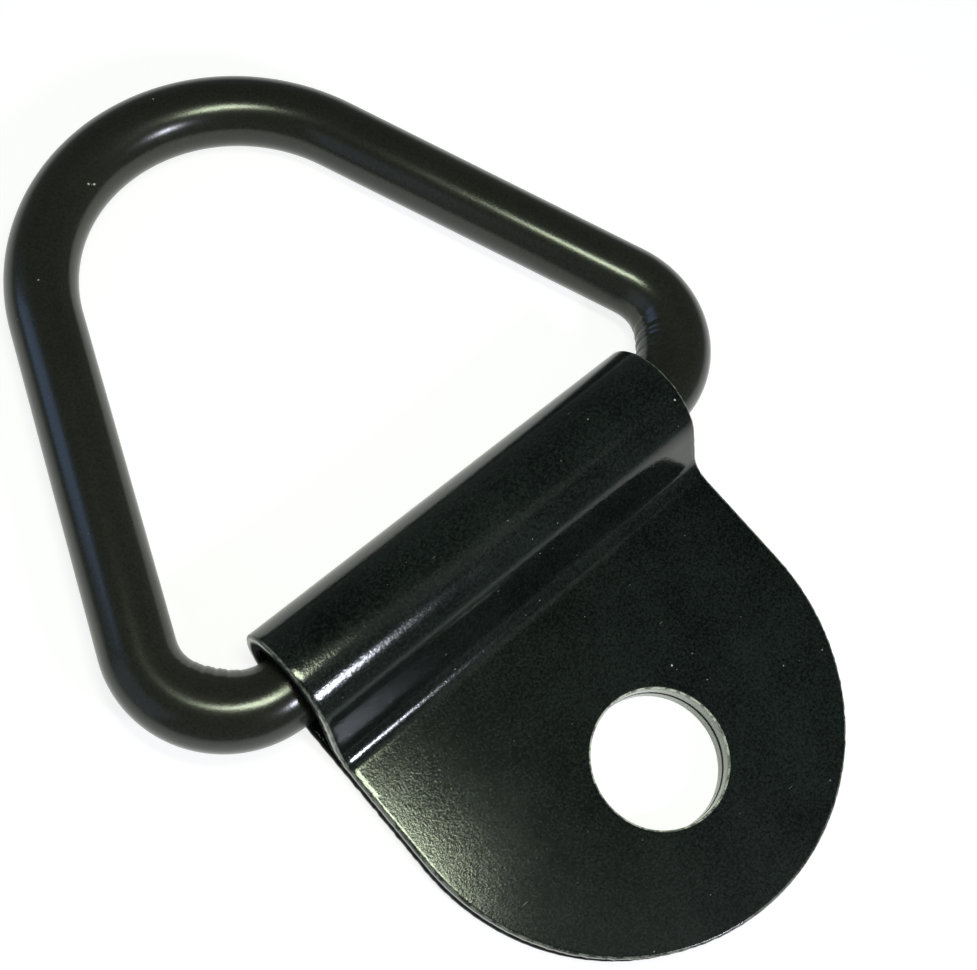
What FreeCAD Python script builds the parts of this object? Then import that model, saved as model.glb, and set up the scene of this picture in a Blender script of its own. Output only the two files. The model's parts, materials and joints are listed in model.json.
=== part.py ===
"""Bolt-on V-ring tie-down anchor, as a parametric document. Millimetres, +Z up.

A sheet-steel strap is folded round the straight base of a V-shaped ring of round bar. Its two leaves
lie on each other and make a round-ended tongue with one bolt hole. The ring swings in the roll.

Origin: centre of the bolt hole on the mounting plane, the tongue's underside. +Y runs from the bolt
hole to the roll and on to the ring's apex, +X runs along the roll.
"""
import FreeCAD
import Part
import math
import os
import Sketcher
from enum import IntEnum, auto

PARTS_FOLDER = "parts"

# Driving dimensions: alias, value, and what it measures.
DIMENSIONS = [
    ("rod_diameter", 8.0, "round bar of the ring"),
    ("ring_reach", 61.7, "centreline of the ring's base to centreline of its apex"),
    ("apex_bend_radius", 21.8, "centreline radius of the ring's wide bend"),
    ("corner_bend_radius", 9.3, "centreline radius of the ring's two base corners"),
    ("end_play", 0.25, "straight base of the ring past each end of the roll"),
    ("seat_gap", 0.15, "clearance under the ring's base where it lies in the roll"),
    ("sheet_thickness", 1.9, "coated sheet of the strap"),
    ("roll_play", 0.9, "clearance all round the bar inside the roll"),
    ("leaf_gap", 0.1, "seam between the tongue's two leaves"),
    ("bracket_width", 51.8, "width of the strap, and diameter of its round tip"),
    ("hole_to_roll", 29.8, "bolt hole to the axis of the roll"),
    ("hole_to_tip", 18.4, "bolt hole to the end of the tongue"),
    ("bolt_hole_diameter", 14.8, "bore through both leaves"),
    ("slope_angle", 66.0, "fall of the upper leaf from the roll, from the mounting plane, in degrees"),
    ("crease_radius", 3.0, "hollow bend where the upper leaf meets the lower one"),
    ("edge_round", 0.35, "round on the strap's sheared edges"),
    ("hole_rim_round", 0.25, "rolled-over rim of the bolt hole on the two outer faces"),
]


def make_sheet(doc):
    """Put the driving dimensions into a spreadsheet, one alias a row."""
    sheet = doc.addObject("Spreadsheet::Sheet", "Sizes")
    for row, (alias, value, meaning) in enumerate(DIMENSIONS, start=1):
        sheet.set("A%d" % row, alias)
        sheet.set("B%d" % row, str(value))
        sheet.set("C%d" % row, meaning)
        sheet.setAlias("B%d" % row, alias)
    doc.recompute()
    return sheet


def point(across, up):
    """A point in a sketch's own plane."""
    return FreeCAD.Vector(across, up, 0)


def polar(centre, radius, degrees):
    """The point of a circle in a sketch's plane at an angle."""
    angle = math.radians(degrees)
    return point(centre.x + radius * math.cos(angle), centre.y + radius * math.sin(angle))


def add_sketch(body, name, plane_role):
    """Attach a new sketch to one of the body's own origin planes."""
    sketch = body.newObject("Sketcher::SketchObject", name)
    plane = next(item for item in body.Origin.OriginFeatures if item.Role == plane_role)
    sketch.AttachmentSupport = [(plane, "")]
    sketch.MapMode = "FlatFace"
    return sketch


def add_arc(sketch, centre, radius, start_degrees, end_degrees):
    """Add an anticlockwise arc and return its index."""
    circle = Part.Circle(centre, FreeCAD.Vector(0, 0, 1), radius)
    arc = Part.ArcOfCircle(circle, math.radians(start_degrees), math.radians(end_degrees))
    return sketch.addGeometry(arc, False)


def add_line(sketch, start, end):
    """Add a line and return its index."""
    return sketch.addGeometry(Part.LineSegment(start, end), False)


def bind(sketch, name, expression, kind, *references):
    """Add a named dimension that follows an expression on the spreadsheet."""
    start_value = sketch.Document.getObject("Sizes").evalExpression(expression)
    start_value = float(getattr(start_value, "Value", start_value))
    if kind == "Angle":
        start_value = math.radians(start_value)
    index = sketch.addConstraint(Sketcher.Constraint(kind, *references, start_value))
    sketch.renameConstraint(index, name)
    sketch.setExpression("Constraints." + name, expression)


def chain(sketch, joins, kind):
    """Join pairs of end points, tangent or just coincident."""
    for first, first_end, second, second_end in joins:
        sketch.addConstraint(Sketcher.Constraint(kind, first, first_end, second, second_end))


class Place(IntEnum):
    """The points of a line or an arc that a sketch's constraint can name."""

    START = auto()
    END = auto()
    CENTRE = auto()


class Axis(IntEnum):
    """A sketch's own axes, as a constraint names them. The horizontal one starts at the origin."""

    HORIZONTAL = -1
    VERTICAL = -2


START, END, CENTRE = Place
ORIGIN = X_AXIS = Axis.HORIZONTAL
Y_AXIS = Axis.VERTICAL


def draw_folded_section(sketch, size):
    """The strap's section across the roll: lower leaf, roll, slope, hollow crease and upper leaf."""
    thickness = size["sheet_thickness"]
    inner = size["rod_diameter"] / 2 + size["roll_play"]
    outer = inner + thickness
    roll = point(size["hole_to_roll"], outer)
    tip = -size["hole_to_tip"]
    leave = 90 + size["slope_angle"]
    top = 2 * thickness + size["leaf_gap"]
    under = thickness + size["leaf_gap"]
    crease = size["crease_radius"]
    # The crease's centre is above the upper leaf by its radius and as far from the slope's face.
    slope = math.radians(size["slope_angle"])
    outer_leave = polar(roll, outer, leave)
    rise = outer_leave.y - top - crease
    crease_centre = point(outer_leave.x - rise / math.tan(slope) - crease / math.sin(slope), top + crease)
    crease_end = leave - 180

    floor_line = add_line(sketch, point(tip, 0), point(roll.x, 0))
    outer_arc = add_arc(sketch, roll, outer, -90, leave)
    outer_slope = add_line(sketch, outer_leave, polar(crease_centre, crease, crease_end))
    crease_arc = add_arc(sketch, crease_centre, crease, -90, crease_end)
    top_line = add_line(sketch, point(crease_centre.x, top), point(tip, top))
    upper_tip = add_line(sketch, point(tip, top), point(tip, under))
    under_line = add_line(sketch, point(tip, under), point(crease_centre.x, under))
    under_arc = add_arc(sketch, crease_centre, crease + thickness, -90, crease_end)
    inner_slope = add_line(
        sketch, polar(crease_centre, crease + thickness, crease_end), polar(roll, inner, leave))
    inner_arc = add_arc(sketch, roll, inner, -90, leave)
    bed_line = add_line(sketch, point(roll.x, thickness), point(tip, thickness))
    lower_tip = add_line(sketch, point(tip, thickness), point(tip, 0))

    chain(sketch, [
        (floor_line, END, outer_arc, START),
        (outer_arc, END, outer_slope, START),
        (outer_slope, END, crease_arc, END),
        (crease_arc, START, top_line, START),
        (under_line, END, under_arc, START),
        (under_arc, END, inner_slope, START),
        (inner_slope, END, inner_arc, END),
        (inner_arc, START, bed_line, START),
    ], "Tangent")
    chain(sketch, [
        (top_line, END, upper_tip, START),
        (upper_tip, END, under_line, START),
        (bed_line, END, lower_tip, START),
        (lower_tip, END, floor_line, START),
        (outer_arc, CENTRE, inner_arc, CENTRE),
        (crease_arc, CENTRE, under_arc, CENTRE),
    ], "Coincident")
    for line in (floor_line, top_line, under_line, bed_line):
        sketch.addConstraint(Sketcher.Constraint("Horizontal", line))
    for line in (upper_tip, lower_tip):
        sketch.addConstraint(Sketcher.Constraint("Vertical", line))
    sketch.addConstraint(Sketcher.Constraint("PointOnObject", floor_line, START, X_AXIS))
    inner_radius = "Sizes.rod_diameter / 2 + Sizes.roll_play"
    bind(sketch, "roll_inner_radius", inner_radius, "Radius", inner_arc)
    bind(sketch, "roll_outer_radius", inner_radius + " + Sizes.sheet_thickness", "Radius", outer_arc)
    bind(sketch, "roll_place", "Sizes.hole_to_roll", "DistanceX", ORIGIN, START, outer_arc, CENTRE)
    bind(sketch, "tip_place", "Sizes.hole_to_tip", "DistanceX", floor_line, START, ORIGIN, START)
    bind(sketch, "upper_tip_place", "Sizes.hole_to_tip", "DistanceX", top_line, END, ORIGIN, START)
    bind(sketch, "crease_radius", "Sizes.crease_radius", "Radius", crease_arc)
    bind(sketch, "slope_angle", "Sizes.slope_angle * 1 deg", "Angle", X_AXIS, START, outer_slope, END)
    bind(sketch, "upper_thickness", "Sizes.sheet_thickness", "DistanceY", upper_tip, END, upper_tip, START)
    bind(sketch, "seam", "Sizes.leaf_gap", "DistanceY", lower_tip, START, upper_tip, END)


def draw_tip_corners(sketch, size):
    """What is sheared off the strap's square end to leave its round tip, in plan."""
    half = size["bracket_width"] / 2
    centre = point(0, half - size["hole_to_tip"])
    far = centre.y - size["bracket_width"]
    left = -size["bracket_width"]
    right = size["bracket_width"]
    tip_arc = add_arc(sketch, centre, half, 180, 360)
    right_shoulder = add_line(sketch, polar(centre, half, 0), point(right, centre.y))
    right_side = add_line(sketch, point(right, centre.y), point(right, far))
    far_side = add_line(sketch, point(right, far), point(left, far))
    left_side = add_line(sketch, point(left, far), point(left, centre.y))
    left_shoulder = add_line(sketch, point(left, centre.y), polar(centre, half, 180))
    chain(sketch, [
        (tip_arc, END, right_shoulder, START),
        (right_shoulder, END, right_side, START),
        (right_side, END, far_side, START),
        (far_side, END, left_side, START),
        (left_side, END, left_shoulder, START),
        (left_shoulder, END, tip_arc, START),
    ], "Coincident")
    for line in (right_shoulder, left_shoulder):
        sketch.addConstraint(Sketcher.Constraint("Horizontal", line))
    for line in (right_side, left_side):
        sketch.addConstraint(Sketcher.Constraint("Vertical", line))
    sketch.addConstraint(Sketcher.Constraint("PointOnObject", tip_arc, CENTRE, Y_AXIS))
    for tip_end in (START, END):
        sketch.addConstraint(Sketcher.Constraint("Horizontal", tip_arc, CENTRE, tip_arc, tip_end))
    sketch.addConstraint(Sketcher.Constraint("Symmetric", far_side, START, far_side, END, Y_AXIS))
    bind(sketch, "tip_radius", "Sizes.bracket_width / 2", "Radius", tip_arc)
    bind(sketch, "tip_centre", "Sizes.bracket_width / 2 - Sizes.hole_to_tip",
         "DistanceY", ORIGIN, START, tip_arc, CENTRE)
    bind(sketch, "waste_reach", "Sizes.bracket_width", "DistanceY", right_side, END, right_side, START)
    bind(sketch, "waste_width", "2 * Sizes.bracket_width", "DistanceX", far_side, END, far_side, START)


def draw_circle(sketch, name, diameter_expression):
    """One circle about the sketch's origin."""
    circle = sketch.addGeometry(Part.Circle(point(0, 0), FreeCAD.Vector(0, 0, 1), 1), False)
    sketch.addConstraint(Sketcher.Constraint("Coincident", circle, CENTRE, ORIGIN, START))
    bind(sketch, name, diameter_expression, "Diameter", circle)


def is_sheared_edge(edge, size):
    """Whether an edge runs along the strap's outline, on one of its four long rims."""
    half = size["bracket_width"] / 2
    tip_centre = half - size["hole_to_tip"]
    for parameter in (edge.FirstParameter, sum(edge.ParameterRange) / 2, edge.LastParameter):
        place = edge.valueAt(parameter)
        if place.y < tip_centre:
            distance = math.hypot(place.x, place.y - tip_centre)
        else:
            distance = abs(place.x)
        if abs(distance - half) > 1e-4:
            return False
    direction = edge.tangentAt(sum(edge.ParameterRange) / 2)
    return abs(direction.z) < 0.999 or isinstance(edge.Curve, Part.Circle)


def is_hole_rim(edge, size):
    """Whether an edge is a rim of the bolt hole on one of the strap's two outer faces."""
    if not isinstance(edge.Curve, Part.Circle):
        return False
    centre = edge.Curve.Center
    top = 2 * size["sheet_thickness"] + size["leaf_gap"]
    centred = math.hypot(centre.x, centre.y) < 1e-4
    outside = min(abs(centre.z), abs(centre.z - top)) < 1e-4
    return centred and outside and abs(edge.Curve.Radius - size["bolt_hole_diameter"] / 2) < 1e-4


def add_round(body, name, base, size, belongs, radius_expression):
    """Round the edges of the base feature that belong to a group."""
    names = []
    for number, edge in enumerate(base.Shape.Edges, start=1):
        if belongs(edge, size):
            names.append("Edge%d" % number)
    fillet = body.newObject("PartDesign::Fillet", name)
    fillet.Base = (base, names)
    fillet.setExpression("Radius", radius_expression)
    body.Document.recompute()
    return fillet


def make_bracket(doc, size):
    """The folded strap, with its roll, its tongue of two leaves and the bolt hole."""
    body = doc.addObject("PartDesign::Body", "Bracket")
    body.Label = "bracket"

    section = add_sketch(body, "FoldedSection", "YZ_Plane")
    draw_folded_section(section, size)
    strap = body.newObject("PartDesign::Pad", "Strap")
    strap.Profile = section
    strap.SideType = "Symmetric"
    strap.setExpression("Length", "Sizes.bracket_width")

    corners = add_sketch(body, "TipCorners", "XY_Plane")
    draw_tip_corners(corners, size)
    tip = body.newObject("PartDesign::Pocket", "RoundTip")
    tip.Profile = corners
    tip.SideType = "Symmetric"
    tip.setExpression("Length", "2 * Sizes.bracket_width")

    bore = add_sketch(body, "BoltCircle", "XY_Plane")
    draw_circle(bore, "bolt_hole", "Sizes.bolt_hole_diameter")
    hole = body.newObject("PartDesign::Pocket", "BoltHole")
    hole.Profile = bore
    hole.SideType = "Symmetric"
    hole.setExpression("Length", "2 * Sizes.bracket_width")
    doc.recompute()

    sheared = add_round(body, "ShearedEdges", hole, size, is_sheared_edge, "Sizes.edge_round")
    add_round(body, "HoleRims", sheared, size, is_hole_rim, "Sizes.hole_rim_round")
    return body


def ring_leg_angle(size):
    """Direction of the right leg's outward normal, in degrees from the ring's base.

    The leg is the outer tangent of the corner's circle and the apex's circle.
    """
    corner_x = size["bracket_width"] / 2 + size["end_play"]
    rise = size["ring_reach"] - size["apex_bend_radius"] - size["corner_bend_radius"]
    shrink = size["corner_bend_radius"] - size["apex_bend_radius"]
    along = math.atan2(rise, -corner_x)
    return math.degrees(along - math.acos(shrink / math.hypot(corner_x, rise)))


def draw_ring_path(sketch, size):
    """The ring's centreline: straight base, two tight corners, two legs and a wide apex bend."""
    half_base = size["bracket_width"] / 2 + size["end_play"]
    corner = size["corner_bend_radius"]
    apex = size["apex_bend_radius"]
    normal = ring_leg_angle(size)
    right_centre = point(half_base, corner)
    left_centre = point(-half_base, corner)
    apex_centre = point(0, size["ring_reach"] - apex)

    base_right = add_line(sketch, point(0, 0), point(half_base, 0))
    right_corner = add_arc(sketch, right_centre, corner, -90, normal)
    right_leg = add_line(sketch, polar(right_centre, corner, normal), polar(apex_centre, apex, normal))
    apex_bend = add_arc(sketch, apex_centre, apex, normal, 180 - normal)
    left_leg = add_line(
        sketch, polar(apex_centre, apex, 180 - normal), polar(left_centre, corner, 180 - normal))
    left_corner = add_arc(sketch, left_centre, corner, 180 - normal, 270)
    base_left = add_line(sketch, point(-half_base, 0), point(0, 0))

    chain(sketch, [
        (base_right, END, right_corner, START),
        (right_corner, END, right_leg, START),
        (right_leg, END, apex_bend, START),
        (apex_bend, END, left_leg, START),
        (left_leg, END, left_corner, START),
        (left_corner, END, base_left, START),
    ], "Tangent")
    sketch.addConstraint(Sketcher.Constraint("Coincident", base_right, START, ORIGIN, START))
    sketch.addConstraint(Sketcher.Constraint("Coincident", base_left, END, ORIGIN, START))
    for line in (base_right, base_left):
        sketch.addConstraint(Sketcher.Constraint("Horizontal", line))
    sketch.addConstraint(Sketcher.Constraint("PointOnObject", apex_bend, CENTRE, Y_AXIS))
    half_expression = "Sizes.bracket_width / 2 + Sizes.end_play"
    bind(sketch, "half_base_right", half_expression, "DistanceX", ORIGIN, START, base_right, END)
    bind(sketch, "half_base_left", half_expression, "DistanceX", base_left, START, ORIGIN, START)
    bind(sketch, "corner_radius_right", "Sizes.corner_bend_radius", "Radius", right_corner)
    bind(sketch, "corner_radius_left", "Sizes.corner_bend_radius", "Radius", left_corner)
    bind(sketch, "apex_radius", "Sizes.apex_bend_radius", "Radius", apex_bend)
    bind(sketch, "apex_centre", "Sizes.ring_reach - Sizes.apex_bend_radius",
         "DistanceY", ORIGIN, START, apex_bend, CENTRE)


def make_ring(doc, size):
    """The closed ring of round bar, lying in the roll with its apex down on the mounting plane."""
    body = doc.addObject("PartDesign::Body", "VRing")
    body.Label = "v_ring"

    path = add_sketch(body, "RingPath", "XY_Plane")
    draw_ring_path(path, size)
    section = add_sketch(body, "BarSection", "YZ_Plane")
    draw_circle(section, "rod_diameter", "Sizes.rod_diameter")
    doc.recompute()

    bar = body.newObject("PartDesign::AdditivePipe", "BentBar")
    bar.Profile = section
    bar.Spine = (path, ["Edge%d" % (number + 1) for number in range(len(path.Shape.Edges))])

    # The base lies in the bottom of the roll and the bar's apex touches the mounting plane.
    body.Placement = FreeCAD.Placement(
        FreeCAD.Vector(0, size["hole_to_roll"], size["sheet_thickness"]),
        FreeCAD.Rotation(FreeCAD.Vector(1, 0, 0), -1))
    body.setExpression("Placement.Base.y", "Sizes.hole_to_roll")
    body.setExpression(
        "Placement.Base.z", "Sizes.sheet_thickness + Sizes.seat_gap + Sizes.rod_diameter / 2")
    body.setExpression(
        "Placement.Rotation.Angle", "-asin((Sizes.sheet_thickness + Sizes.seat_gap) / Sizes.ring_reach)")
    return body


def check_document(doc, bodies):
    """Stop where any object failed to recompute or a sub-part has no sound single solid."""
    for item in doc.Objects:
        if "Invalid" in item.State or "Error" in item.State:
            raise RuntimeError("%s failed: %s" % (item.Name, item.State))
    for body in bodies:
        shape = body.Shape
        if shape.isNull() or not shape.isValid() or len(shape.Solids) != 1:
            raise RuntimeError("%s has no sound solid" % body.Label)


def main():
    """Build the document and write one STEP file for each sub-part."""
    doc = FreeCAD.newDocument("TieDownAnchor")
    sheet = make_sheet(doc)
    size = {alias: float(sheet.get(alias)) for alias, value, meaning in DIMENSIONS}
    bodies = [make_bracket(doc, size), make_ring(doc, size)]
    doc.recompute()
    check_document(doc, bodies)
    os.makedirs(PARTS_FOLDER, exist_ok=True)
    for body in bodies:
        body.Shape.exportStep(os.path.join(PARTS_FOLDER, body.Label + ".step"))
        box = body.Shape.BoundBox
        print("%s: %.1f cubic mm, x %.2f to %.2f, y %.2f to %.2f, z %.2f to %.2f" % (
            body.Label, body.Shape.Volume, box.XMin, box.XMax, box.YMin, box.YMax, box.ZMin, box.ZMax))


main()
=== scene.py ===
"""Looks of a bolt-on V-ring tie-down anchor: a strap of folded strip steel that holds a ring of bent bar.

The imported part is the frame. Its origin is the bolt hole's centre on the mounting plane, +Y runs from the
hole to the ring's apex, +X along the roll and +Z up. Sizes here are millimetres, and a mesh is turned to
metres as it is made.
"""
import json
import logging
import math
from dataclasses import dataclass
from enum import Enum
from typing import Any, Mapping, Sequence

import bpy
import numpy as np
import numpy.typing as npt
from mathutils import Matrix, Vector

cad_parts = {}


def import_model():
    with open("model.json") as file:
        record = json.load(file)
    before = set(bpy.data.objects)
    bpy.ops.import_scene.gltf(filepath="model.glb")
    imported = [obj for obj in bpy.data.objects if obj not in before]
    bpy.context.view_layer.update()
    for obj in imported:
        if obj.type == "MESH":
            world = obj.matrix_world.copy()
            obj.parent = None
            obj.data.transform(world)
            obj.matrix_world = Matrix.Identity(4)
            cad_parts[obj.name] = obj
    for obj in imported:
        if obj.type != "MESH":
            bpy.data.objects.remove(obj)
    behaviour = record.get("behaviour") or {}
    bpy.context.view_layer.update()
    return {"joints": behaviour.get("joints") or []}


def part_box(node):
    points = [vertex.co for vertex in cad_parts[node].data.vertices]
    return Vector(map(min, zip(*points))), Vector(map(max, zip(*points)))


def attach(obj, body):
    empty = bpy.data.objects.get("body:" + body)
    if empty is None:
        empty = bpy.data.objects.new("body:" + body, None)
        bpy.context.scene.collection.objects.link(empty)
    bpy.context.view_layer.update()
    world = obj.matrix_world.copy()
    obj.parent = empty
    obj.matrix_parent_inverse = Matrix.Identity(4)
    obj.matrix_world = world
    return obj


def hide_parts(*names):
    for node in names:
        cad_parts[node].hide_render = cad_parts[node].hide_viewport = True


Floats = npt.NDArray[np.float64]
Numbers = npt.NDArray[np.int64]
Point = tuple[float, float, float]

MM = 0.001
MICRON = 0.001  # in millimetres
LOG = logging.getLogger("anchor")


class Body(Enum):
    """The bodies that a piece can ride on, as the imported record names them."""

    BRACKET = "bracket"
    RING = "ring"


class Slot(Enum):
    """The record's material slots."""

    BRACKET_COAT = "bracket_coat"
    RING_COAT = "ring_coat"


class Kind(Enum):
    """The shader nodes that the finishes and the stage are made of."""

    ADD_SHADER = "ShaderNodeAddShader"
    ATTRIBUTE = "ShaderNodeAttribute"
    BACKGROUND = "ShaderNodeBackground"
    BUMP = "ShaderNodeBump"
    COORDINATES = "ShaderNodeTexCoord"
    DIFFUSE = "ShaderNodeBsdfDiffuse"
    EMISSION = "ShaderNodeEmission"
    GEOMETRY = "ShaderNodeNewGeometry"
    LIGHT_PATH = "ShaderNodeLightPath"
    MAPPING = "ShaderNodeMapping"
    MATERIAL_OUTPUT = "ShaderNodeOutputMaterial"
    MATH = "ShaderNodeMath"
    MIX = "ShaderNodeMix"
    MIX_SHADER = "ShaderNodeMixShader"
    NOISE = "ShaderNodeTexNoise"
    PRINCIPLED = "ShaderNodeBsdfPrincipled"
    RANGE = "ShaderNodeMapRange"
    SEPARATE = "ShaderNodeSeparateXYZ"
    TRANSPARENT = "ShaderNodeBsdfTransparent"
    VECTOR_MATH = "ShaderNodeVectorMath"
    VORONOI = "ShaderNodeTexVoronoi"
    WORLD_OUTPUT = "ShaderNodeOutputWorld"


class Wear(Enum):
    """The attributes, from 0 to 1, that a mesh carries for its finish."""

    THIN = "thin_coat"
    # corners worn to steel, which also carry a painted glint
    RUBBED_AND_GLINT = "rubbed_coat"
    # the fractured part of a sheared face, which also carries a painted shade
    TORN_AND_SHADE = "torn_steel"


def linear(hex_colour: str) -> tuple[float, float, float, float]:
    """Turns a written sRGB colour into the linear one that a shader takes.

    Args:
        hex_colour: six digits after a hash, such as #1c2420.

    Returns:
        Red, green, blue and an alpha of 1.
    """
    channels = [int(hex_colour[place:place + 2], 16) / 255 for place in (1, 3, 5)]
    red, green, blue = [
        value / 12.92 if value <= 0.04045 else ((value + 0.055) / 1.055) ** 2.4 for value in channels]
    return red, green, blue, 1.0


def add_node(
    tree: bpy.types.NodeTree, kind: Kind, inputs: Mapping[str | int, Any] | None = None, **settings: Any
) -> bpy.types.Node:
    """Adds one node with its settings and links.

    Args:
        tree: the node tree of a material or the world.
        kind: which node.
        inputs: socket name or number to its value, or to the output socket that feeds it.
        settings: the node's own properties, such as its operation.

    Returns:
        The new node.
    """
    node = tree.nodes.new(kind.value)
    for name, value in settings.items():
        setattr(node, name, value)
    for socket, value in (inputs or {}).items():
        if isinstance(value, bpy.types.NodeSocket):
            tree.links.new(value, node.inputs[socket])
        else:
            node.inputs[socket].default_value = value
    return node


def grid_quads(index: Numbers, closed_rows: bool = False, closed_columns: bool = False) -> Numbers:
    """Lists the quads of a grid of vertex numbers.

    A quad goes (row, column), (row + 1, column), (row + 1, column + 1), (row, column + 1), so its normal is
    the direction of the rows' step crossed with that of the columns' step.

    Args:
        index: vertex numbers, one for each row and column.
        closed_rows: whether the last row joins the first.
        closed_columns: whether the last column joins the first.

    Returns:
        One row of four vertex numbers for each quad.
    """
    if closed_rows:
        index = np.vstack([index, index[:1]])
    if closed_columns:
        index = np.hstack([index, index[:, :1]])
    corners = (index[:-1, :-1], index[1:, :-1], index[1:, 1:], index[:-1, 1:])
    return np.stack(corners, axis=-1).reshape(-1, 4)


def make_piece(
    name: str, points: Floats, quads: Numbers, wear: Mapping[Wear, Floats], material: bpy.types.Material
) -> bpy.types.Object:
    """Makes a smooth-shaded mesh object at the origin.

    Args:
        name: the piece's name.
        points: vertex places in millimetres, in the frame.
        quads: four vertex numbers for each face.
        wear: how worn the coat is at each vertex, by attribute.
        material: the piece's finish.

    Returns:
        The object, linked to the scene.
    """
    mesh = bpy.data.meshes.new(name)
    mesh.vertices.add(len(points))
    mesh.vertices.foreach_set("co", (points * MM).astype(np.float32).ravel())
    mesh.loops.add(quads.size)
    mesh.loops.foreach_set("vertex_index", quads.astype(np.int32).ravel())
    mesh.polygons.add(len(quads))
    mesh.polygons.foreach_set("loop_start", np.arange(0, quads.size, 4, dtype=np.int32))
    mesh.update(calc_edges=True)
    mesh.validate()
    mesh.shade_smooth()
    for kind, values in wear.items():
        attribute = mesh.attributes.new(kind.value, "FLOAT", "POINT")
        attribute.data.foreach_set("value", values.astype(np.float32).ravel())
    mesh.materials.append(material)
    piece = bpy.data.objects.new(name, mesh)
    bpy.context.scene.collection.objects.link(piece)
    return piece


@dataclass(frozen=True)
class Run:
    """One stretch of a bent line: its length, and how far it turns over that length, in radians."""

    length: float
    turn: float = 0.0

    @classmethod
    def bend(cls, radius: float, degrees: float) -> "Run":
        """A bend of a radius through an angle, anticlockwise if that is positive."""
        turn = math.radians(degrees)
        return cls(radius * abs(turn), turn)


class BentLine:
    """A flat line of straight runs and bends, measured by the distance walked along it."""

    def __init__(self, start: tuple[float, float], heading: float, runs: Sequence[Run]) -> None:
        """Works out where each run starts.

        Args:
            start: the line's first point.
            heading: the first direction, in degrees.
            runs: the straight runs and bends in order.
        """
        self.lengths = np.array([run.length for run in runs])
        turns = np.array([run.turn for run in runs])
        self.curvatures = turns / self.lengths
        self.starts = np.concatenate([[0.0], np.cumsum(self.lengths)[:-1]])
        self.headings = math.radians(heading) + np.concatenate([[0.0], np.cumsum(turns)[:-1]])
        self.total = float(self.lengths.sum())
        steps = self._step(self.lengths, self.headings, self.curvatures)
        self.corners = np.array(start) + np.vstack([[0.0, 0.0], np.cumsum(steps, axis=0)[:-1]])

    @staticmethod
    def _step(distance: Floats, heading: Floats, curvature: Floats) -> Floats:
        """Steps along runs of constant curvature.

        The chord of a walked distance d that turns by a is d * sin(a / 2) / (a / 2) long, and lies along the
        heading half way, which also holds where a is 0.

        Args:
            distance: how far each step walks.
            heading: the direction that each starts in, in radians.
            curvature: how fast each turns, in radians a millimetre.

        Returns:
            The two parts of each chord.
        """
        half_turn = curvature * distance / 2
        chord = distance * np.sinc(half_turn / np.pi)
        middle = heading + half_turn
        return np.stack([chord * np.cos(middle), chord * np.sin(middle)], axis=-1)

    def at(self, distance: Floats) -> tuple[Floats, Floats]:
        """Finds places on the line.

        Args:
            distance: how far along the line, an array of any shape.

        Returns:
            The points, with one more axis of two, and the headings in radians.
        """
        run = np.searchsorted(self.starts, distance, side="right") - 1
        run = np.clip(run, 0, len(self.starts) - 1)
        walked = distance - self.starts[run]
        points = self.corners[run] + self._step(walked, self.headings[run], self.curvatures[run])
        return points, self.headings[run] + self.curvatures[run] * walked

    def stations(self, low: float, high: float, straight_step: float, bend_step: float) -> Floats:
        """Divides a stretch of the line, with a station at each change from one run to the next.

        Args:
            low: distance of the first station.
            high: distance of the last one.
            straight_step: longest step on a straight run.
            bend_step: longest step on a bend.

        Returns:
            Rising distances from low to high.
        """
        found = [np.array([low])]
        for start, length, curvature in zip(self.starts, self.lengths, self.curvatures):
            first, last = max(low, start), min(high, start + length)
            if last > first:
                step = bend_step if curvature else straight_step
                count = math.ceil((last - first) / step)
                found.append(np.linspace(first, last, count + 1)[1:])
        return np.concatenate(found)


@dataclass(frozen=True)
class Chip:
    """A spot where the coat is knocked off, by its place in the frame and its radius, in millimetres."""

    place: Point
    radius: float


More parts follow.
